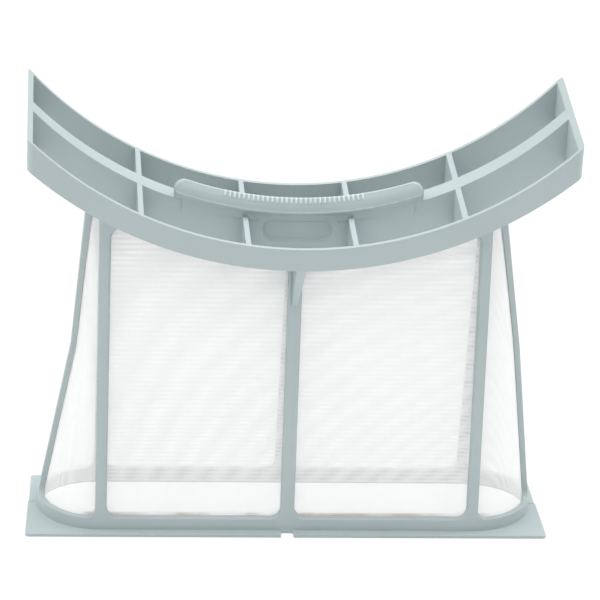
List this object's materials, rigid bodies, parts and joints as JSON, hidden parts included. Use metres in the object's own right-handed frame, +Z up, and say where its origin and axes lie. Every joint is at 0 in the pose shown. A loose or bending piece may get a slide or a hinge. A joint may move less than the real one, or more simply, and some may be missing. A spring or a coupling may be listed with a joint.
{
  "type": "tumble dryer lint filter",
  "caption": "Tent-shaped lint filter for a tumble dryer: a plastic cage lined with fine mesh, open below, under a curved ribbed handle with a grip lip.",
  "frame": {"origin": "on the resting plane under the base flange, below the middle of the handle", "axes": "+X along the handle, +Y from the front with the finger dish towards the rear, +Z up from the base flange to the handle"},
  "size_m": [0.278, 0.0838, 0.2351],
  "materials": {
    "plastic": "satin",
    "mesh": "matte"
  },
  "bodies": {
    "root": {"handle": "plastic", "front_frame": "plastic", "rear_frame": "plastic", "front_mesh": "mesh", "rear_mesh": "mesh"}
  },
  "joints": []
}
